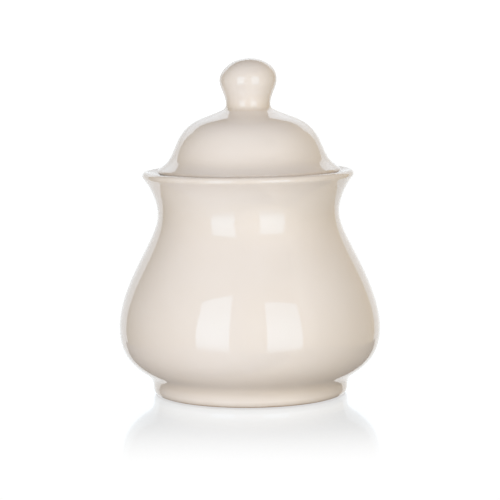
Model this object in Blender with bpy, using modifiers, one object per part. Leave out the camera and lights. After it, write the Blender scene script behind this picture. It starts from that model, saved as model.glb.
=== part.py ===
"""Lidded ceramic sugar bowl, modelled as the two fired pieces that it comes apart into.

bowl: one hollow turned body, from its foot ring up to a rolled lip.
lid:  a domed cover and its knob in one piece, hollow, with a skirt that drops inside the neck.

Both pieces are turned about Z. The origin is on the table, under the middle of the foot.
Lengths are in millimetres, and become metres where a mesh is made. An outline is a list of
(radius, height) points that starts and ends on the axis and runs down its outer side.
"""
import math

import bpy
import numpy as np

METRES_PER_MM = 0.001
TURN_STEPS = 48
MERGE_DISTANCE = 0.00001

# How far apart an outline's points are on its gentle curves
BOWL_INSIDE_SPACING = 4.6
BOWL_OUTSIDE_SPACING = 3.6
LID_INSIDE_SPACING = 3.6
LID_OUTSIDE_SPACING = 1.25

WALL = 4.0              # fired wall of the bowl
LID_WALL = 3.8
SEAT_HEIGHT = 85.0      # where the lid's brim meets the bowl, and the lid's own origin

# Bowl, outside
FOOT_RADIUS = 37.4
FOOT_ROUND = 2.4
FOOT_TOP = (37.8, 5.2)
BELLY = (50.1, 26.0)
NECK = (34.8, 69.5)
LIP_CENTRE = (38.95, 84.4)
LIP_ROUND = 1.55
LIP_OUTER_ANGLE = -40.0  # where the flare runs into the rolled lip, in degrees from level
LIP_INNER_ANGLE = 115.0  # where the lip runs into the lid's seat

# Bowl, inside and underneath
FLOOR_HEIGHT = 8.0
FLOOR_EDGE = (26.0, 8.7)
FOOT_CONTACT_RADIUS = 33.4
FOOT_INNER_ROUND = 1.2
RECESS_ROUND = 1.6
RECESS_HEIGHT = 3.4
RECESS_CENTRE_HEIGHT = 4.0

# Knob
KNOB_RADIUS = 11.0
KNOB_CROWN = 8.25       # rise from the knob's widest ring to its top
KNOB_HEIGHT = 120.5     # height of that widest ring
KNOB_WAIST = (8.5, 111.8)

# Lid
BRIM_CENTRE = (34.05, 86.0)
BRIM_ROUND = 0.95
BRIM_ANGLE = 53.0       # where the dome runs into the rolled edge of the brim
SKIRT_RADIUS = 30.4
SKIRT_THICKNESS = 3.2
SKIRT_BOTTOM = 75.0
SKIRT_ROUND = 1.2
DOME_SPRING = 86.0      # height at which the inside of the dome leaves the skirt

BOWL_STATIONS = [
    FOOT_TOP,
    (42.2, 9.5),
    (48.1, 16.0),
    BELLY,
    (47.7, 38.0),
    (42.7, 50.0),
    (37.7, 60.0),
    NECK,
    (36.4, 77.0),
]
LID_STATIONS = [
    (9.8, 116.2),
    KNOB_WAIST,
    (8.8, 109.9),
    (10.6, 108.8),
    (14.0, 107.45),
    (20.4, 104.85),
    (25.3, 100.6),
    (28.1, 95.5),
    (31.05, 89.8),
]

# The top of the bowl's inside: up the wall, round the seat's corner and out along the seat
SEAT_STATIONS = [
    (33.05, 82.4),
    (33.3, 83.9),
    (34.1, 84.73),
]

GLAZE_COLOUR = (0.83, 0.76, 0.69, 1.0)
GLAZE_ROUGHNESS = 0.12


def on_circle(centre, radii, degrees):
    """The point of a circle or an upright ellipse at an angle from +X towards +Z."""
    angle = math.radians(degrees)
    return (centre[0] + radii[0] * math.cos(angle), centre[1] + radii[1] * math.sin(angle))


def arc(centre, radii, start, end, steps):
    """Points along an arc, from one angle to another, both ends included."""
    return [on_circle(centre, radii, start + (end - start) * i / steps) for i in range(steps + 1)]


def round_arc(centre, radius, start, end, steps):
    """Points along an arc of a circle."""
    return arc(centre, (radius, radius), start, end, steps)


def heading(degrees):
    """A unit direction square to a radius at this angle, turning clockwise."""
    angle = math.radians(degrees)
    return (math.sin(angle), -math.cos(angle))


def station_slopes(stations, leave, arrive):
    """The stations, the spans between them, and the slope at each station that keeps the
    curvature of the curve through them continuous."""
    points = np.array(stations, dtype=float)
    spans = np.linalg.norm(np.diff(points, axis=0), axis=1)
    count = len(points)
    matrix = np.eye(count)
    target = np.zeros((count, 2))
    target[0] = leave
    target[-1] = arrive
    for i in range(1, count - 1):
        before = spans[i - 1]
        after = spans[i]
        matrix[i, i - 1:i + 2] = (after, 2 * (before + after), before)
        rise = after / before * (points[i] - points[i - 1])
        fall = before / after * (points[i + 1] - points[i])
        target[i] = 3 * (rise + fall)
    return points, spans, np.linalg.solve(matrix, target)


def smooth_curve(stations, leave, arrive, spacing):
    """Points on the curve through the stations, about `spacing` apart, both ends included."""
    points, spans, slopes = station_slopes(stations, leave, arrive)
    curve = []
    for i, span in enumerate(spans):
        steps = max(1, round(span / spacing))
        for step in range(steps):
            t = step / steps
            place = (2 * t**3 - 3 * t**2 + 1) * points[i] + (3 * t**2 - 2 * t**3) * points[i + 1]
            pull = (t**3 - 2 * t**2 + t) * slopes[i] + (t**3 - t**2) * slopes[i + 1]
            curve.append(tuple(place + span * pull))
    curve.append(tuple(points[-1]))
    return curve


def moved_inside(stations, leave, arrive, wall):
    """Each station moved into the clay by the wall, square to the curve that runs down it."""
    points, _, slopes = station_slopes(stations, leave, arrive)
    unit = slopes / np.linalg.norm(slopes, axis=1)[:, None]
    inward = np.column_stack((unit[:, 1], -unit[:, 0]))
    return [tuple(point) for point in points + wall * inward]


def bowl_outline():
    """Floor, inside wall and seat, over the lip, down the belly, and under the foot."""
    lip_radii = (LIP_ROUND, LIP_ROUND)
    lip_end = on_circle(LIP_CENTRE, lip_radii, LIP_OUTER_ANGLE)
    seat_top = on_circle(LIP_CENTRE, lip_radii, LIP_INNER_ANGLE)
    foot_centre = (FOOT_RADIUS - FOOT_ROUND, FOOT_ROUND)

    down_the_outside = [lip_end] + BOWL_STATIONS[::-1] + [(FOOT_RADIUS, FOOT_ROUND)]
    leave_lip = heading(LIP_OUTER_ANGLE)
    inside = moved_inside(down_the_outside, leave_lip, (0, -1), WALL)[1:-2]

    up_the_inside = [(0, FLOOR_HEIGHT), FLOOR_EDGE] + inside[::-1] + SEAT_STATIONS + [seat_top]
    outline = smooth_curve(up_the_inside, (1, 0), heading(LIP_INNER_ANGLE), BOWL_INSIDE_SPACING)
    outline += round_arc(LIP_CENTRE, LIP_ROUND, LIP_INNER_ANGLE, LIP_OUTER_ANGLE, 8)[1:]
    outline += smooth_curve(down_the_outside, leave_lip, (0, -1), BOWL_OUTSIDE_SPACING)[1:]
    outline += round_arc(foot_centre, FOOT_ROUND, 0, -90, 4)[1:]
    inner_edge = (FOOT_CONTACT_RADIUS, FOOT_INNER_ROUND)
    outline += round_arc(inner_edge, FOOT_INNER_ROUND, -90, -180, 2)
    foot_inner_radius = FOOT_CONTACT_RADIUS - FOOT_INNER_ROUND
    recess_corner = (foot_inner_radius - RECESS_ROUND, RECESS_HEIGHT - RECESS_ROUND)
    outline += round_arc(recess_corner, RECESS_ROUND, 0, 90, 2)
    outline.append((0, RECESS_CENTRE_HEIGHT))
    return outline


def lid_outline():
    """Knob, waist and dome, round the brim, down and up the skirt, and up inside to the knob."""
    knob_centre = (0, KNOB_HEIGHT)
    knob_side = (KNOB_RADIUS, KNOB_HEIGHT)
    brim_start = on_circle(BRIM_CENTRE, (BRIM_ROUND, BRIM_ROUND), BRIM_ANGLE)
    reach_brim = heading(BRIM_ANGLE)
    down_the_outside = [knob_side] + LID_STATIONS + [brim_start]
    inside = moved_inside(down_the_outside, (0, -1), reach_brim, LID_WALL)[1:-2]

    outline = arc(knob_centre, (KNOB_RADIUS, KNOB_CROWN), 90, 0, 6)
    outline += smooth_curve(down_the_outside, (0, -1), reach_brim, LID_OUTSIDE_SPACING)[1:]
    outline += round_arc(BRIM_CENTRE, BRIM_ROUND, BRIM_ANGLE, -90, 4)[1:]
    outline += skirt_outline()
    dome_start = (SKIRT_RADIUS - SKIRT_THICKNESS, DOME_SPRING)
    cavity_side = (KNOB_RADIUS - LID_WALL, KNOB_HEIGHT)
    up_the_inside = [dome_start] + inside[::-1] + [cavity_side]
    outline += smooth_curve(up_the_inside, (0, 1), (0, 1), LID_INSIDE_SPACING)
    cavity_radii = (KNOB_RADIUS - LID_WALL, KNOB_CROWN - LID_WALL)
    outline += arc(knob_centre, cavity_radii, 0, 90, 3)[1:]
    return outline


def skirt_outline():
    """The skirt, from the corner under the brim, round its lower edge, and up inside it."""
    under_brim = BRIM_CENTRE[1] - BRIM_ROUND
    corner = (SKIRT_RADIUS + SKIRT_ROUND, under_brim - SKIRT_ROUND)
    middle = (SKIRT_RADIUS - SKIRT_THICKNESS / 2, SKIRT_BOTTOM + SKIRT_THICKNESS / 2)
    outline = round_arc(corner, SKIRT_ROUND, 90, 180, 2)
    outline += round_arc(middle, SKIRT_THICKNESS / 2, 0, -180, 4)
    return outline


def glaze(name):
    """A glossy cream glaze."""
    material = bpy.data.materials.new(name)
    material.use_nodes = True
    shader = material.node_tree.nodes["Principled BSDF"]
    shader.inputs["Base Color"].default_value = GLAZE_COLOUR
    shader.inputs["Roughness"].default_value = GLAZE_ROUGHNESS
    shader.inputs["Metallic"].default_value = 0.0
    return material


def turned(name, outline, origin_height, material, collection):
    """A named object made by turning the outline about Z, with its origin on the axis."""
    vertices = []
    for radius, height in outline:
        vertices.append((radius * METRES_PER_MM, 0, (height - origin_height) * METRES_PER_MM))
    edges = [(i, i + 1) for i in range(len(vertices) - 1)]
    mesh = bpy.data.meshes.new(name)
    mesh.from_pydata(vertices, edges, [])
    mesh.materials.append(material)
    piece = bpy.data.objects.new(name, mesh)
    piece.location = (0, 0, origin_height * METRES_PER_MM)
    collection.objects.link(piece)

    screw = piece.modifiers.new("turn", "SCREW")
    screw.axis = "Z"
    screw.angle = math.tau
    screw.steps = TURN_STEPS
    screw.render_steps = TURN_STEPS
    screw.use_merge_vertices = True
    screw.merge_threshold = MERGE_DISTANCE
    screw.use_smooth_shade = True


def main():
    for leftover in list(bpy.data.objects):
        bpy.data.objects.remove(leftover)
    collection = bpy.data.collections.new("sugar_bowl")
    bpy.context.scene.collection.children.link(collection)

    turned("bowl", bowl_outline(), 0, glaze("bowl_glaze"), collection)
    turned("lid", lid_outline(), SEAT_HEIGHT, glaze("lid_glaze"), collection)


main()
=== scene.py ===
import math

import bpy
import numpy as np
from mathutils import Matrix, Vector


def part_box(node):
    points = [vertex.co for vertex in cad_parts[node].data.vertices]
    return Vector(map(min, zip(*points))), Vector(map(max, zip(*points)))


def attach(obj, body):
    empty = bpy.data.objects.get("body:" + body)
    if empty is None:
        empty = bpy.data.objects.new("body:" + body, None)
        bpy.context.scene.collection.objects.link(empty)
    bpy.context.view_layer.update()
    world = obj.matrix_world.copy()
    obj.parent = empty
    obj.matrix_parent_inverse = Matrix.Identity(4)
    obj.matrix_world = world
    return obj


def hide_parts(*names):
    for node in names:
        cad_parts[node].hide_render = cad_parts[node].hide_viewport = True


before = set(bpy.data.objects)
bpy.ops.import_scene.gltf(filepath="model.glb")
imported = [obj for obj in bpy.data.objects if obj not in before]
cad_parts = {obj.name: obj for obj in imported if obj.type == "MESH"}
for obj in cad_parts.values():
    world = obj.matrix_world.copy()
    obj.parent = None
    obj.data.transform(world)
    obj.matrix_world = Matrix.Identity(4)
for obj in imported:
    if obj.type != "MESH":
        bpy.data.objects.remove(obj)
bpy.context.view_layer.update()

# Looks of the lidded sugar bowl: two fine turned pieces in a cream glaze, on a plain studio table.
#
# Each piece's outline is written once, in design millimetres, with its stations where the packed
# solid has them. The width of the bowl's box in the frame says how long a design millimetre is.
# Both pieces are turned about Z, and their origin is on the table under the middle of the foot.

bowl_low, bowl_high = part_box("bowl")

# ---------------------------------------------------------------- outlines, in millimetres
TURN_STEPS = 192
OUTSIDE_SPACING = 0.9       # between an outline's points
INSIDE_SPACING = 2.0
LIP_STEPS = 20              # spans along each rounded part of an outline
CROWN_STEPS = 24
CAVITY_STEPS = 10
EDGE_STEPS = 12
CORNER_STEPS = 6

BELLY = (50.1, 26.0)
LIP_CENTRE = (38.95, 84.4)
LIP_ROUND = 1.55
LIP_OUTER_ANGLE = -40.0
LIP_INNER_ANGLE = 115.0
BOWL_WALL = 4.0
FOOT_RADIUS = 37.4
FOOT_ROUND = 2.4
FOOT_CONTACT_RADIUS = 33.4
FOOT_INNER_ROUND = 1.2
RECESS_ROUND = 1.6
RECESS_HEIGHT = 3.4
RECESS_CENTRE_HEIGHT = 4.0
FLOOR_HEIGHT = 8.0
FLOOR_EDGE = (26.0, 8.7)
BOWL_STATIONS = [
    (37.8, 5.2),
    (42.2, 9.5),
    (48.1, 16.0),
    BELLY,
    (47.7, 38.0),
    (42.7, 50.0),
    (37.7, 60.0),
    (34.8, 69.5),
    (36.4, 77.0),
]

KNOB_RADIUS = 11.0
KNOB_CROWN = 8.25
KNOB_HEIGHT = 120.5
LID_WALL = 3.8
BRIM_CENTRE = (34.05, 86.0)
BRIM_ROUND = 0.95
BRIM_ANGLE = 53.0
SKIRT_RADIUS = 30.4
SKIRT_THICKNESS = 3.2
SKIRT_BOTTOM = 75.0
SKIRT_ROUND = 1.2
DOME_SPRING = 86.0
LID_STATIONS = [
    (9.8, 116.2),
    (8.5, 111.8),
    (8.8, 109.9),
    (10.6, 108.8),
    (14.0, 107.45),
    (20.4, 104.85),
    (25.3, 100.6),
    (28.1, 95.5),
    (31.05, 89.8),
]

SEAT_STATIONS = [
    (33.05, 82.4),
    (33.3, 83.9),
    (34.1, 84.73),
]

DESIGN_BELLY_WIDTH = 2 * BELLY[0]
MM = (bowl_high.x - bowl_low.x) / DESIGN_BELLY_WIDTH    # one design millimetre, in metres


def on_circle(centre, radii, degrees):
    """The point of a circle or an upright ellipse at an angle from +X towards +Z."""
    angle = math.radians(degrees)
    return (centre[0] + radii[0] * math.cos(angle), centre[1] + radii[1] * math.sin(angle))


def arc(centre, radii, start, end, steps):
    """Points along an arc, from one angle to another, both ends included."""
    return [on_circle(centre, radii, start + (end - start) * i / steps) for i in range(steps + 1)]


def round_arc(centre, radius, start, end, steps):
    """Points along an arc of a circle."""
    return arc(centre, (radius, radius), start, end, steps)


def heading(degrees):
    """A unit direction square to a radius at this angle, turning clockwise."""
    angle = math.radians(degrees)
    return (math.sin(angle), -math.cos(angle))


def station_slopes(stations, leave, arrive):
    """The stations, their spans, and the slopes that keep the curve's curvature continuous."""
    points = np.array(stations, dtype=float)
    spans = np.linalg.norm(np.diff(points, axis=0), axis=1)
    count = len(points)
    matrix = np.eye(count)
    target = np.zeros((count, 2))
    target[0] = leave
    target[-1] = arrive
    for i in range(1, count - 1):
        before = spans[i - 1]
        after = spans[i]
        matrix[i, i - 1:i + 2] = (after, 2 * (before + after), before)
        rise = after / before * (points[i] - points[i - 1])
        fall = before / after * (points[i + 1] - points[i])
        target[i] = 3 * (rise + fall)
    return points, spans, np.linalg.solve(matrix, target)


def smooth_curve(stations, leave, arrive, spacing):
    """Points on the curve through the stations, about `spacing` apart, both ends included."""
    points, spans, slopes = station_slopes(stations, leave, arrive)
    curve = []
    for i, span in enumerate(spans):
        steps = max(1, round(span / spacing))
        for step in range(steps):
            t = step / steps
            place = (2 * t**3 - 3 * t**2 + 1) * points[i] + (3 * t**2 - 2 * t**3) * points[i + 1]
            pull = (t**3 - 2 * t**2 + t) * slopes[i] + (t**3 - t**2) * slopes[i + 1]
            curve.append(tuple(place + span * pull))
    curve.append(tuple(points[-1]))
    return curve


def moved_inside(stations, leave, arrive, wall):
    """Each station moved into the clay by the wall, square to the curve that runs down it."""
    points, _, slopes = station_slopes(stations, leave, arrive)
    unit = slopes / np.linalg.norm(slopes, axis=1)[:, None]
    inward = np.column_stack((unit[:, 1], -unit[:, 0]))
    return [tuple(point) for point in points + wall * inward]


def bowl_outline():
    """(stretch name, points) from the inner floor, over the lip, down the belly, under the foot."""
    lip_radii = (LIP_ROUND, LIP_ROUND)
    lip_end = on_circle(LIP_CENTRE, lip_radii, LIP_OUTER_ANGLE)
    seat_top = on_circle(LIP_CENTRE, lip_radii, LIP_INNER_ANGLE)
    leave_lip = heading(LIP_OUTER_ANGLE)
    outside = [lip_end] + BOWL_STATIONS[::-1] + [(FOOT_RADIUS, FOOT_ROUND)]
    moved = moved_inside(outside, leave_lip, (0, -1), BOWL_WALL)[1:-2]
    inside = [(0, FLOOR_HEIGHT), FLOOR_EDGE] + moved[::-1] + SEAT_STATIONS + [seat_top]
    foot_centre = (FOOT_RADIUS - FOOT_ROUND, FOOT_ROUND)
    foot_inner_edge = (FOOT_CONTACT_RADIUS, FOOT_INNER_ROUND)
    foot_inner_radius = FOOT_CONTACT_RADIUS - FOOT_INNER_ROUND
    recess_corner = (foot_inner_radius - RECESS_ROUND, RECESS_HEIGHT - RECESS_ROUND)
    under = [(recess_corner[0], RECESS_HEIGHT), (0, RECESS_CENTRE_HEIGHT)]
    return [
        ("inside", smooth_curve(inside, (1, 0), heading(LIP_INNER_ANGLE), INSIDE_SPACING)),
        ("lip", round_arc(LIP_CENTRE, LIP_ROUND, LIP_INNER_ANGLE, LIP_OUTER_ANGLE, LIP_STEPS)),
        ("outside", smooth_curve(outside, leave_lip, (0, -1), OUTSIDE_SPACING)),
        ("foot_edge", round_arc(foot_centre, FOOT_ROUND, 0, -90, EDGE_STEPS)),
        ("foot_contact", round_arc(foot_inner_edge, FOOT_INNER_ROUND, -90, -180, CORNER_STEPS)),
        ("recess_corner", round_arc(recess_corner, RECESS_ROUND, 0, 90, CORNER_STEPS)),
        ("recess", smooth_curve(under, (-1, 0), (-1, 0), INSIDE_SPACING)),
    ]


def lid_outline():
    """(stretch name, points) from the knob's top, down the dome, round the skirt, up inside."""
    knob_centre = (0, KNOB_HEIGHT)
    brim_start = on_circle(BRIM_CENTRE, (BRIM_ROUND, BRIM_ROUND), BRIM_ANGLE)
    reach_brim = heading(BRIM_ANGLE)
    outside = [(KNOB_RADIUS, KNOB_HEIGHT)] + LID_STATIONS + [brim_start]
    moved = moved_inside(outside, (0, -1), reach_brim, LID_WALL)[1:-2]
    dome_start = (SKIRT_RADIUS - SKIRT_THICKNESS, DOME_SPRING)
    cavity_side = (KNOB_RADIUS - LID_WALL, KNOB_HEIGHT)
    cavity_radii = (KNOB_RADIUS - LID_WALL, KNOB_CROWN - LID_WALL)
    under_brim = BRIM_CENTRE[1] - BRIM_ROUND
    skirt_corner = (SKIRT_RADIUS + SKIRT_ROUND, under_brim - SKIRT_ROUND)
    skirt_middle = (SKIRT_RADIUS - SKIRT_THICKNESS / 2, SKIRT_BOTTOM + SKIRT_THICKNESS / 2)
    skirt_edge = round_arc(skirt_middle, SKIRT_THICKNESS / 2, 0, -180, EDGE_STEPS)
    corner = round_arc(skirt_corner, SKIRT_ROUND, 90, 180, CORNER_STEPS)
    outer_side = [corner[-1], skirt_edge[0]]
    inner_side = [skirt_edge[-1], dome_start]
    inside = [dome_start] + moved[::-1] + [cavity_side]
    return [
        ("crown", arc(knob_centre, (KNOB_RADIUS, KNOB_CROWN), 90, 0, CROWN_STEPS)),
        ("outside", smooth_curve(outside, (0, -1), reach_brim, OUTSIDE_SPACING)),
        ("brim", round_arc(BRIM_CENTRE, BRIM_ROUND, BRIM_ANGLE, -90, EDGE_STEPS)),
        ("under_brim", corner),
        ("skirt_side", smooth_curve(outer_side, (0, -1), (0, -1), INSIDE_SPACING)),
        ("skirt_edge", skirt_edge),
        ("skirt_inside", smooth_curve(inner_side, (0, 1), (0, 1), INSIDE_SPACING)),
        ("inside", smooth_curve(inside, (0, 1), (0, 1), INSIDE_SPACING)),
        ("cavity", arc(knob_centre, cavity_radii, 0, 90, CAVITY_STEPS)),
    ]


# ---------------------------------------------------------------- turning an outline
SAME_POINT = 1e-6
NO_LENGTH = 1e-9
EDGE_THINNING = 1.2         # how much a bend of 1/mm thins the glaze on an edge; in a hollow, pooled glaze and painted shade
HOLLOW_POOLING_AND_SHADE = 4
BARE_BELOW = 0.15           # the foot is wiped bare up to here, and fully glazed from the next
GLAZED_ABOVE = 0.9


def joined(stretches):
    """One list of points and one of stretch names, with the shared ends kept once."""
    points = []
    names = []
    for name, stretch in stretches:
        for point in stretch:
            if points and math.dist(points[-1], point) < SAME_POINT:
                continue
            points.append(point)
            names.append(name)
    return np.array(points), names


def bend(points):
    """How sharply the outline turns at each point, in 1/mm: positive where it stands proud."""
    ahead = np.roll(points, -1, axis=0) - points
    behind = points - np.roll(points, 1, axis=0)
    cross = behind[:, 0] * ahead[:, 1] - behind[:, 1] * ahead[:, 0]
    length = np.linalg.norm(ahead, axis=1) * np.linalg.norm(behind, axis=1)
    length *= np.linalg.norm(ahead + behind, axis=1)
    turn = np.where(length > NO_LENGTH, -2 * cross / np.maximum(length, NO_LENGTH), 0)
    turn[0] = 0
    turn[-1] = 0
    return turn


def turned(name, stretches, bare, warp, material):
    """The outline turned about Z as a closed mesh, with glaze values and the painted shade of its
    hollows stored on its points.

    `bare` names the stretch of the outline that has no glaze.
    """
    points, names = joined(stretches)
    turn = bend(points)
    rings = points[1:-1]
    angles = np.arange(TURN_STEPS) * (2 * math.pi / TURN_STEPS)
    radius = np.repeat(rings[:, 0], TURN_STEPS)
    height = np.repeat(rings[:, 1], TURN_STEPS)
    angle = np.tile(angles, len(rings))
    radius = np.concatenate(([0.0], radius, [0.0]))
    height = np.concatenate(([points[0, 1]], height, [points[-1, 1]]))
    angle = np.concatenate(([0.0], angle, [0.0]))
    places = warp(radius, height, angle) * MM

    faces = []
    last_ring = len(rings) - 1
    for step in range(TURN_STEPS):
        after = (step + 1) % TURN_STEPS
        faces.append((0, 1 + step, 1 + after))
        for ring in range(last_ring):
            a = 1 + ring * TURN_STEPS
            b = a + TURN_STEPS
            faces.append((a + step, b + step, b + after, a + after))
        a = 1 + last_ring * TURN_STEPS
        faces.append((a + step, len(places) - 1, a + after))
    mesh = bpy.data.meshes.new(name)
    mesh.from_pydata(places.tolist(), [], faces)
    mesh.update()
    mesh.shade_smooth()

    unglazed = [1.0 if n == bare else 0.0 for n in names]
    at_table = 1 - eased(points[:, 1], BARE_BELOW, GLAZED_ABOVE)
    per_point = {
        "edge_thin": np.clip(turn * EDGE_THINNING, 0, 1),
        # hollows are darkened: part pooled glaze, part painted shade
        "hollow_pooling_and_shade": np.clip(-turn * HOLLOW_POOLING_AND_SHADE, 0, 1),
        "bare_clay": np.maximum(unglazed, at_table),
    }
    for label, values in per_point.items():
        spread = np.concatenate((values[:1], np.repeat(values[1:-1], TURN_STEPS), values[-1:]))
        attribute = mesh.attributes.new(label, "FLOAT", "POINT")
        attribute.data.foreach_set("value", spread.astype(np.float32))
    mesh.materials.append(material)
    piece = bpy.data.objects.new(name, mesh)
    bpy.context.scene.collection.objects.link(piece)
    return piece


# ---------------------------------------------------------------- hand-made unevenness
# Amounts of an oval are parts of the radius, shifts are in millimetres, and a dip is a slope.
BELLY_OVAL = 0.0016
BELLY_OVAL_TURN = 0.7
BELLY_THREE_SIDED = 0.0009
BELLY_THREE_SIDED_TURN = 2.1
BELLY_ROUND_BELOW = 4       # the foot is true up to here, and the belly fully oval from the next
BELLY_OVAL_ABOVE = 24
LEFT_FULLER = 0.35          # a bulge towards -X, at this height and this far up and down
LEFT_FULLER_HEIGHT = 38
LEFT_FULLER_REACH = 12
NECK_SHIFT = 0.3
NECK_SHIFT_FROM = 50
NECK_SHIFT_TO = 76
LIP_DIP = 0.006
LID_OVAL = 0.0018
LID_OVAL_TURN = 2.4
LID_DIP = 0.005
KNOB_OVAL_TIMES = 4
KNOB_OVAL_FROM = 108
KNOB_OVAL_TO = 120
CROWN_SHIFT = 0.5
CROWN_SHIFT_FROM = 119
CROWN_SHIFT_TO = 129


def eased(value, low, high):
    """0 below low, 1 above high, smooth between them."""
    t = np.clip((value - low) / (high - low), 0, 1)
    return t * t * (3 - 2 * t)


def bowl_warp(radius, height, angle):
    """Cast ware is never quite round: the belly is a little oval and the lip dips to one side."""
    above_foot = eased(height, BELLY_ROUND_BELOW, BELLY_OVAL_ABOVE)
    oval = BELLY_OVAL * np.cos(2 * angle + BELLY_OVAL_TURN)
    oval += BELLY_THREE_SIDED * np.cos(3 * angle + BELLY_THREE_SIDED_TURN)
    fuller_left = np.exp(-((height - LEFT_FULLER_HEIGHT) / LEFT_FULLER_REACH) ** 2)
    fuller_left *= np.clip(-np.cos(angle), 0, 1) ** 2
    r = radius * (1 + above_foot * oval) + LEFT_FULLER * fuller_left
    x = r * np.cos(angle)
    y = r * np.sin(angle)
    neck = eased(height, NECK_SHIFT_FROM, NECK_SHIFT_TO)
    return np.column_stack((x - NECK_SHIFT * neck, y, height + LIP_DIP * neck * x))


def lid_warp(radius, height, angle):
    """The lid sits with the lip's dip, and its knob was finished by hand."""
    on_knob = eased(height, KNOB_OVAL_FROM, KNOB_OVAL_TO)
    on_crown = eased(height, CROWN_SHIFT_FROM, CROWN_SHIFT_TO)
    oval = LID_OVAL * np.cos(2 * angle + LID_OVAL_TURN)
    r = radius * (1 + oval * (1 + (KNOB_OVAL_TIMES - 1) * on_knob))
    x = r * np.cos(angle) + CROWN_SHIFT * on_crown
    y = r * np.sin(angle)
    return np.column_stack((x, y, height + LID_DIP * x))


# ---------------------------------------------------------------- materials
class Nodes:
    """Short calls that add shader nodes to one material."""

    def __init__(self, name):
        self.material = bpy.data.materials.new(name)
        self.material.use_nodes = True
        self.tree = self.material.node_tree
        self.tree.nodes.clear()

    def add(self, kind, **settings):
        node = self.tree.nodes.new(kind)
        for key, value in settings.items():
            setattr(node, key, value)
        return node

    def link(self, out, into):
        self.tree.links.new(out, into)

    def put(self, socket, value):
        """Links a socket to an output, or gives it a value."""
        if isinstance(value, bpy.types.NodeSocket):
            self.link(value, socket)
        else:
            socket.default_value = value

    def math(self, operation, a, b=0.0):
        node = self.add("ShaderNodeMath", operation=operation)
        self.put(node.inputs[0], a)
        self.put(node.inputs[1], b)
        return node.outputs[0]

    def mix(self, factor, a, b):
        """One colour turning into another."""
        node = self.add("ShaderNodeMix", data_type="RGBA")
        self.put(node.inputs["Factor"], factor)
        self.put(node.inputs[6], a)
        self.put(node.inputs[7], b)
        return node.outputs[2]

    def noise(self, scale, detail, roughness=0.5):
        node = self.add("ShaderNodeTexNoise")
        self.link(self.own_place(), node.inputs["Vector"])
        node.inputs["Scale"].default_value = scale
        node.inputs["Detail"].default_value = detail
        node.inputs["Roughness"].default_value = roughness
        return node.outputs["Fac"]

    def between(self, value, low, high, to_low=0.0, to_high=1.0):
        """A value between two limits, eased into another range and held at its ends."""
        node = self.add("ShaderNodeMapRange", interpolation_type="SMOOTHSTEP")
        self.put(node.inputs["Value"], value)
        node.inputs["From Min"].default_value = low
        node.inputs["From Max"].default_value = high
        node.inputs["To Min"].default_value = to_low
        node.inputs["To Max"].default_value = to_high
        return node.outputs["Result"]

    def attribute(self, name):
        """A value stored on the mesh's points."""
        return self.add("ShaderNodeAttribute", attribute_name=name).outputs["Fac"]

    def bump(self, height, distance, normal=None):
        """The surface's normal, tilted by a height in metres, over another normal if given."""
        node = self.add("ShaderNodeBump")
        node.inputs["Strength"].default_value = 1.0
        node.inputs["Distance"].default_value = distance
        self.link(height, node.inputs["Height"])
        if normal is not None:
            self.link(normal, node.inputs["Normal"])
        return node.outputs["Normal"]

    def own_place(self):
        """Where a point is in its object's own space."""
        return self.add("ShaderNodeTexCoord").outputs["Object"]

    def own(self, axis):
        """One coordinate of that place."""
        split = self.add("ShaderNodeSeparateXYZ")
        self.link(self.own_place(), split.inputs[0])
        return split.outputs[axis]

    def emission(self, colour, strength=1.0):
        node = self.add("ShaderNodeEmission")
        self.put(node.inputs["Color"], colour)
        self.put(node.inputs["Strength"], strength)
        return node.outputs[0]

    def blend(self, factor, first, second):
        """One shader turning into another."""
        node = self.add("ShaderNodeMixShader")
        self.link(factor, node.inputs[0])
        self.link(first, node.inputs[1])
        self.link(second, node.inputs[2])
        return node.outputs[0]

    def finish(self, surface, sampled=True):
        """The material with this surface. Unsampled, its glow is found only by rays that meet it."""
        output = self.add("ShaderNodeOutputMaterial")
        self.link(surface, output.inputs["Surface"])
        if not sampled:
            self.material.cycles.emission_sampling = "NONE"
        return self.material


CREAM = (0.845, 0.768, 0.705, 1)
CREAM_THIN = (0.70, 0.58, 0.46, 1)
# The deeper cream darkens hollows, part pooled glaze and part painted shade; it also clouds the
# glaze at random.
CREAM_THICK_AND_SHADE = (0.75, 0.645, 0.54, 1)
CLAY = (0.52, 0.37, 0.26, 1)
CLAY_PALE = (0.62, 0.47, 0.35, 1)
GLAZE_IOR = 1.5
GLAZE_SMOOTHEST = 0.008
GLAZE_ROUGHEST = 0.02
CLAY_ROUGHNESS = 0.7        # added to the glaze's own
CLOUD_SCALE = 38.0          # sizes of the noise patterns, per metre
RIPPLE_SCALE = 240.0
SPECK_SCALE = 1500.0
GRAIN_SCALE = 4200.0
CLOUD_AMOUNT = 0.15         # how far each one changes the cream
POOLED_AND_SHADE_AMOUNT = 0.6
WORN_AMOUNT = 0.3
SPECK_AMOUNT = 0.18
RAGGED = 0.5                # how uneven the line is where the glaze stops
RIPPLE_HEIGHT = 0.000006
PORE_DEPTH = 0.0001


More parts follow.
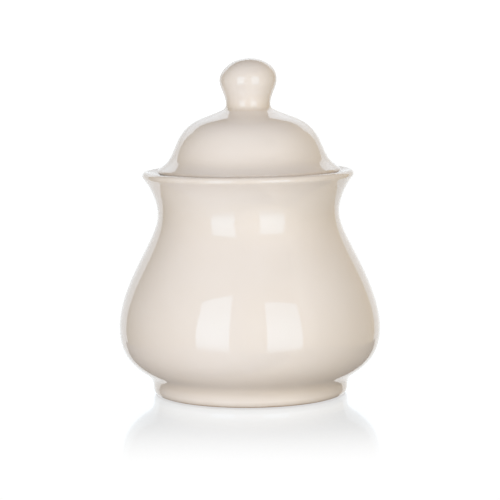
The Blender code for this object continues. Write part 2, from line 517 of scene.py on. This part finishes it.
def glaze(name):
    """Cream glaze: it runs thin on edges, pools in hollows, where it is also darkened as painted
    shade, and stops at the wiped clay.
    """
    n = Nodes(name)
    cloud = n.noise(CLOUD_SCALE, 3.0)
    ripple = n.noise(RIPPLE_SCALE, 2.0)
    speck = n.noise(SPECK_SCALE, 1.0)
    grain = n.noise(GRAIN_SCALE, 3.0, 0.7)

    thin = n.math("MULTIPLY", n.attribute("edge_thin"), n.between(ripple, 0.2, 0.8, 0.35, 1.0))
    # Hollows are darkened towards the deeper cream, partly pooled glaze and partly painted shade.
    thick_and_shade = n.math("MULTIPLY", n.attribute("hollow_pooling_and_shade"), POOLED_AND_SHADE_AMOUNT)
    cloudy = n.mix(n.between(cloud, 0.3, 0.7, 0.0, CLOUD_AMOUNT), CREAM, CREAM_THICK_AND_SHADE)
    pooled_and_shaded = n.mix(thick_and_shade, cloudy, CREAM_THICK_AND_SHADE)
    worn = n.mix(n.math("MULTIPLY", thin, WORN_AMOUNT), pooled_and_shaded, CREAM_THIN)
    spotted = n.mix(n.between(speck, 0.72, 0.8, 0.0, SPECK_AMOUNT), worn, CREAM_THIN)

    ragged = n.math("MULTIPLY", n.math("SUBTRACT", ripple, 0.5), RAGGED)
    bare = n.between(n.math("ADD", n.attribute("bare_clay"), ragged), 0.35, 0.55)
    clay = n.mix(n.between(grain, 0.35, 0.65), CLAY, CLAY_PALE)

    shader = n.add("ShaderNodeBsdfPrincipled")
    n.link(n.mix(bare, spotted, clay), shader.inputs["Base Color"])
    gloss = n.between(ripple, 0.3, 0.7, GLAZE_SMOOTHEST, GLAZE_ROUGHEST)
    rough = n.math("ADD", n.math("MULTIPLY", bare, CLAY_ROUGHNESS), gloss)
    n.link(rough, shader.inputs["Roughness"])
    shader.inputs["IOR"].default_value = GLAZE_IOR

    pores = n.math("MULTIPLY", grain, bare)
    skin = n.bump(ripple, RIPPLE_HEIGHT)
    n.link(n.bump(pores, PORE_DEPTH, skin), shader.inputs["Normal"])
    return n.finish(shader.outputs[0])


def glow(name, colour):
    """A plain lit surface."""
    n = Nodes(name)
    return n.finish(n.emission(colour), sampled=False)


def diffuser_glow(name, colour, height):
    """A lit diffuser: full strength low in its middle, dimmer at its foot and towards its top."""
    n = Nodes(name)
    foot = n.between(n.own("Y"), -0.5 * height, -0.28 * height, SHINE_FOOT, 1.0)
    head = n.between(n.own("Y"), 0.0, 0.5 * height, 1.0, SHINE_HEAD)
    return n.finish(n.emission(colour, n.math("MULTIPLY", foot, head)), sampled=False)


def backdrop_glow(name, table_level):
    """A white wall, brighter towards its top. Its own Y runs up it."""
    n = Nodes(name)
    start = table_level + BACKDROP_BRIGHTENS_FROM
    end = table_level + BACKDROP_BRIGHTENS_TO
    colour = n.mix(n.between(n.own("Y"), start, end), BACKDROP_COLOUR, BACKDROP_TOP_COLOUR)
    return n.finish(n.emission(colour), sampled=False)


def shown_white(name):
    """What is seen of the table: white, with a fading reflection close to the bowl.

    It mirrors more at a low angle, as polished acrylic does, and it is clear from underneath.
    """
    n = Nodes(name)
    x2 = n.math("MULTIPLY", n.own("X"), n.own("X"))
    y2 = n.math("MULTIPLY", n.own("Y"), n.own("Y"))
    from_axis = n.math("SQRT", n.math("ADD", x2, y2))
    mirror = n.add("ShaderNodeBsdfGlossy")
    mirror.inputs["Color"].default_value = TABLE_MIRROR
    mirror.inputs["Roughness"].default_value = TABLE_MIRROR_ROUGHNESS
    gloss = n.add("ShaderNodeFresnel")
    gloss.inputs["IOR"].default_value = TABLE_GLOSS_IOR
    polished = n.blend(gloss.outputs[0], n.emission(TABLE_SHOWN), mirror.outputs[0])
    plain = n.emission((1, 1, 1, 1), TABLE_WHITE)
    fade = n.between(from_axis, TABLE_POLISH_START, TABLE_POLISH_END)
    above = n.blend(fade, polished, plain)
    clear = n.add("ShaderNodeBsdfTransparent").outputs[0]
    underneath = n.add("ShaderNodeNewGeometry").outputs["Backfacing"]
    return n.finish(n.blend(underneath, above, clear), sampled=False)


def acrylic(name, white, glow_colour):
    """Glossy white acrylic, lit a little from below."""
    n = Nodes(name)
    shader = n.add("ShaderNodeBsdfPrincipled")
    shader.inputs["Base Color"].default_value = (white, white, white, 1)
    shader.inputs["Roughness"].default_value = ACRYLIC_ROUGHNESS
    shader.inputs["Emission Color"].default_value = glow_colour
    shader.inputs["Emission Strength"].default_value = 1.0
    return n.finish(shader.outputs[0], sampled=False)


# ---------------------------------------------------------------- stage, light and camera
# Lengths are in metres and angles in degrees. Light is in scene-linear colour, where 1 is white.
TABLE_SIZE = 4.0
TABLE_SHOWN = (0.99, 1.01, 1.03, 1)     # the polished table near the bowl, under its mirror
TABLE_MIRROR = (0.93, 0.97, 1.0, 1)
TABLE_MIRROR_ROUGHNESS = 0.06
TABLE_GLOSS_IOR = 1.45
TABLE_POLISH_START = 0.06               # it fades between these distances from the axis
TABLE_POLISH_END = 0.155
TABLE_WHITE = 1.02                      # the table further off
ACRYLIC_WHITE = 0.42                    # the table as it throws light back up
ACRYLIC_ROUGHNESS = 0.05
TABLE_GLOW = (0.04, 0.02, 0.0, 1)
SHEET_SIZE = 0.22                       # the part of the table that the glaze mirrors in front
SHEET_GLOW = (0.24, 0.23, 0.22, 1)
BEHIND_START = -0.013                   # where the bright table behind the bowl begins
BEHIND_START_WIDTH = 0.07
LAYER = 0.0001                          # between sheets that lie on one another

BACKDROP_DISTANCE = 1.2
BACKDROP_LEFT = -1.10
BACKDROP_RIGHT = 1.0
BACKDROP_TOP = 1.0
BACKDROP_BOTTOM = -0.8
BACKDROP_COLOUR = (1.10, 1.14, 1.17, 1)
BACKDROP_TOP_COLOUR = (1.58, 1.70, 1.82, 1)
BACKDROP_BRIGHTENS_FROM = 0.35          # heights above the table
BACKDROP_BRIGHTENS_TO = 0.65

# A softbox runs from one azimuth to another on its side of the camera, as the bowl sees it,
# between two heights above the table, and faces the bowl from its own azimuth.
SOFTBOX_DISTANCE = 0.55
SOFTBOX_LEFT = {"side": -1, "inner": 17.5, "outer": 46, "low": -0.125, "high": 0.42, "facing": 9}
SOFTBOX_RIGHT = {"side": 1, "inner": 13.5, "outer": 44, "low": -0.15, "high": 0.37, "facing": 14.5}
BOUNCE = {"side": 1, "inner": -25, "outer": 25, "low": -0.13, "high": 0.10, "facing": 0}
LAMP_LEFT = (3.13, 3.51, 4.24)          # what each lamp gives the bowl
LAMP_RIGHT = (0.82, 1.27, 1.84)
LAMP_BOUNCE = (2.52, 2.27, 1.74)
SHINE_LEFT = (1.76, 2.50, 3.05, 1)      # what the glaze mirrors of each softbox
SHINE_RIGHT = (1.95, 2.62, 3.18, 1)
SHINE_FOOT = 0.60                       # strength at a panel's lower edge and at its top
SHINE_HEAD = 0.84
SHINE_BELOW = 0.35                      # strength of the part under it, thrown back by the table
BELOW_HEIGHT = 0.09

ROOM_LEFT = (0.26, 0.2, 0.06, 1)
ROOM_RIGHT = (0.73, 0.61, 0.43, 1)
ROOM_ABOVE = (0.34, 0.33, 0.36, 1)
ROOM_SIDES_MEET = (-0.6, 0.6)           # parts of the way from one side of the room to the other
ROOM_TOP_STARTS = (0.5, 0.9)            # and of the way from level to straight up
ROOM_SEEN = (1.1, 1.1, 1.1, 1)

CAMERA_DISTANCE = 0.8273
CAMERA_HEIGHT = 0.1443
CAMERA_SIDE = 0.0002
CAMERA_PITCH = 6.15
CAMERA_ROLL = -0.5
CAMERA_LENS = 155.7                     # millimetres, as is the sensor
SENSOR_WIDTH = 36.0
CLIP_START = 0.05
CLIP_END = 20


def four_corners(name, corners, material):
    """A flat part of the studio."""
    mesh = bpy.data.meshes.new(name)
    mesh.from_pydata(corners, [], [(0, 1, 2, 3)])
    mesh.materials.append(material)
    sheet = bpy.data.objects.new(name, mesh)
    bpy.context.scene.collection.objects.link(sheet)
    return sheet


def panel(name, width, height, material):
    """A flat sheet in its own XY plane, facing its +Z."""
    w = width / 2
    h = height / 2
    return four_corners(name, [(-w, -h, 0), (w, -h, 0), (w, h, 0), (-w, h, 0)], material)


def seen_by(thing, camera=False, diffuse=False, glossy=False):
    """Which kinds of ray meet this part of the studio. None of it casts a shadow."""
    thing.visible_camera = camera
    thing.visible_diffuse = diffuse
    thing.visible_glossy = glossy
    if thing.type == "MESH":
        thing.visible_shadow = False


def softbox(name, side, inner, outer, low, high, facing, radiance, shine=None):
    """A lamp that lights the bowl evenly.

    With a shine, a panel in the same place is what the glaze mirrors of it, over a dimmer panel
    for what the table throws back.
    """
    turn = math.radians(facing)
    start = SOFTBOX_DISTANCE * math.tan(math.radians(inner) - turn)
    end = SOFTBOX_DISTANCE * math.tan(math.radians(outer) - turn)
    light = bpy.data.lights.new(name, "AREA")
    light.shape = "RECTANGLE"
    light.size = end - start
    light.size_y = high - low
    light.color = radiance
    light.energy = math.pi * light.size * light.size_y
    lamp = bpy.data.objects.new(name, light)
    bpy.context.scene.collection.objects.link(lamp)
    seen_by(lamp, diffuse=True)
    things = [(lamp, (low + high) / 2)]
    if shine is not None:
        lit = diffuser_glow(name + "_front", shine, light.size_y)
        face = panel(name + "_front", light.size, light.size_y, lit)
        things.append((face, (low + high) / 2))
        dim = [SHINE_BELOW * part for part in shine[:3]] + [1]
        below = panel(name + "_below", light.size, BELOW_HEIGHT, glow(name + "_below", dim))
        things.append((below, low - BELOW_HEIGHT / 2))
        for thing in (face, below):
            seen_by(thing, glossy=True)

    away = Vector((side * math.sin(turn), -math.cos(turn), 0))
    along = Vector((side * math.cos(turn), math.sin(turn), 0))
    place = away * SOFTBOX_DISTANCE + along * (start + end) / 2
    for thing, height in things:
        thing.location = (place.x, place.y, height)
        thing.rotation_euler = away.to_track_quat("Z", "Y").to_euler()


def build_stage():
    shown = panel("table_shown", TABLE_SIZE, TABLE_SIZE, shown_white("table_white"))
    shown.location = (0, 0, bowl_low.z)
    seen_by(shown, camera=True)
    acrylic_light = acrylic("acrylic_light", ACRYLIC_WHITE, TABLE_GLOW)
    light = panel("table_light", TABLE_SIZE, TABLE_SIZE, acrylic_light)
    light.location = (0, 0, bowl_low.z - LAYER)
    seen_by(light, diffuse=True)
    sheet = panel("table_sheet", SHEET_SIZE, SHEET_SIZE, glow("sheet_glow", SHEET_GLOW))
    sheet.location = (0, 0, bowl_low.z - 3 * LAYER)
    seen_by(sheet, glossy=True)

    white = glow("backdrop_white", BACKDROP_COLOUR)
    z = bowl_low.z - 2 * LAYER
    corners = [
        (-BEHIND_START_WIDTH / 2, BEHIND_START, z),
        (BEHIND_START_WIDTH / 2, BEHIND_START, z),
        (BACKDROP_RIGHT, BACKDROP_DISTANCE, z),
        (BACKDROP_LEFT, BACKDROP_DISTANCE, z),
    ]
    behind = four_corners("table_behind", corners, white)
    seen_by(behind, glossy=True)

    height = BACKDROP_TOP - BACKDROP_BOTTOM
    lit_wall = backdrop_glow("backdrop_glow", -height / 2 - BACKDROP_BOTTOM)
    backdrop = panel("backdrop", BACKDROP_RIGHT - BACKDROP_LEFT, height, lit_wall)
    middle = (BACKDROP_LEFT + BACKDROP_RIGHT) / 2
    backdrop.location = (middle, BACKDROP_DISTANCE, (BACKDROP_TOP + BACKDROP_BOTTOM) / 2)
    backdrop.rotation_euler = (math.radians(90), 0, 0)
    seen_by(backdrop, diffuse=True, glossy=True)

    softbox("softbox_left", radiance=LAMP_LEFT, shine=SHINE_LEFT, **SOFTBOX_LEFT)
    softbox("softbox_right", radiance=LAMP_RIGHT, shine=SHINE_RIGHT, **SOFTBOX_RIGHT)
    softbox("table_bounce", radiance=LAMP_BOUNCE, **BOUNCE)


def build_world():
    """A dim room, lighter on one side and above, which the camera itself sees as white."""
    world = bpy.data.worlds.new("studio")
    world.use_nodes = True
    tree = world.node_tree
    tree.nodes.clear()
    place = tree.nodes.new("ShaderNodeTexCoord")
    split = tree.nodes.new("ShaderNodeSeparateXYZ")
    tree.links.new(place.outputs["Generated"], split.inputs[0])

    def turning(axis, span, before, after):
        """One colour turning into another along an axis of the room."""
        ramp = tree.nodes.new("ShaderNodeMapRange")
        ramp.interpolation_type = "SMOOTHSTEP"
        ramp.inputs["From Min"].default_value = span[0]
        ramp.inputs["From Max"].default_value = span[1]
        tree.links.new(split.outputs[axis], ramp.inputs["Value"])
        mix = tree.nodes.new("ShaderNodeMix")
        mix.data_type = "RGBA"
        tree.links.new(ramp.outputs["Result"], mix.inputs["Factor"])
        for socket, colour in ((mix.inputs[6], before), (mix.inputs[7], after)):
            if isinstance(colour, bpy.types.NodeSocket):
                tree.links.new(colour, socket)
            else:
                socket.default_value = colour
        return mix.outputs[2]

    across = turning("X", ROOM_SIDES_MEET, ROOM_LEFT, ROOM_RIGHT)
    colour = turning("Z", ROOM_TOP_STARTS, across, ROOM_ABOVE)
    room = tree.nodes.new("ShaderNodeBackground")
    tree.links.new(colour, room.inputs["Color"])
    white = tree.nodes.new("ShaderNodeBackground")
    white.inputs["Color"].default_value = ROOM_SEEN
    path = tree.nodes.new("ShaderNodeLightPath")
    chosen = tree.nodes.new("ShaderNodeMixShader")
    output = tree.nodes.new("ShaderNodeOutputWorld")
    tree.links.new(path.outputs["Is Camera Ray"], chosen.inputs[0])
    tree.links.new(room.outputs[0], chosen.inputs[1])
    tree.links.new(white.outputs[0], chosen.inputs[2])
    tree.links.new(chosen.outputs[0], output.inputs["Surface"])
    bpy.context.scene.world = world


def build_camera():
    data = bpy.data.cameras.new("camera")
    data.lens = CAMERA_LENS
    data.sensor_width = SENSOR_WIDTH
    data.clip_start = CLIP_START
    data.clip_end = CLIP_END
    camera = bpy.data.objects.new("camera", data)
    bpy.context.scene.collection.objects.link(camera)
    pitch = Matrix.Rotation(math.radians(90 - CAMERA_PITCH), 4, "X")
    roll = Matrix.Rotation(math.radians(CAMERA_ROLL), 4, "Z")
    place = Matrix.Translation((CAMERA_SIDE, -CAMERA_DISTANCE, CAMERA_HEIGHT))
    camera.matrix_world = place @ pitch @ roll
    bpy.context.scene.camera = camera


# ---------------------------------------------------------------- the object
def build_bowl():
    glazed = glaze("cream_glaze_bowl")
    piece = turned("bowl_body", bowl_outline(), "foot_contact", bowl_warp, glazed)
    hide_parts("bowl")
    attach(piece, "bowl")


def build_lid():
    glazed = glaze("cream_glaze_lid")
    piece = turned("lid_cover", lid_outline(), "under_brim", lid_warp, glazed)
    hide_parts("lid")
    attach(piece, "lid")


build_camera()
build_world()
build_stage()
build_bowl()
build_lid()
bpy.context.scene.view_settings.view_transform = "Standard"
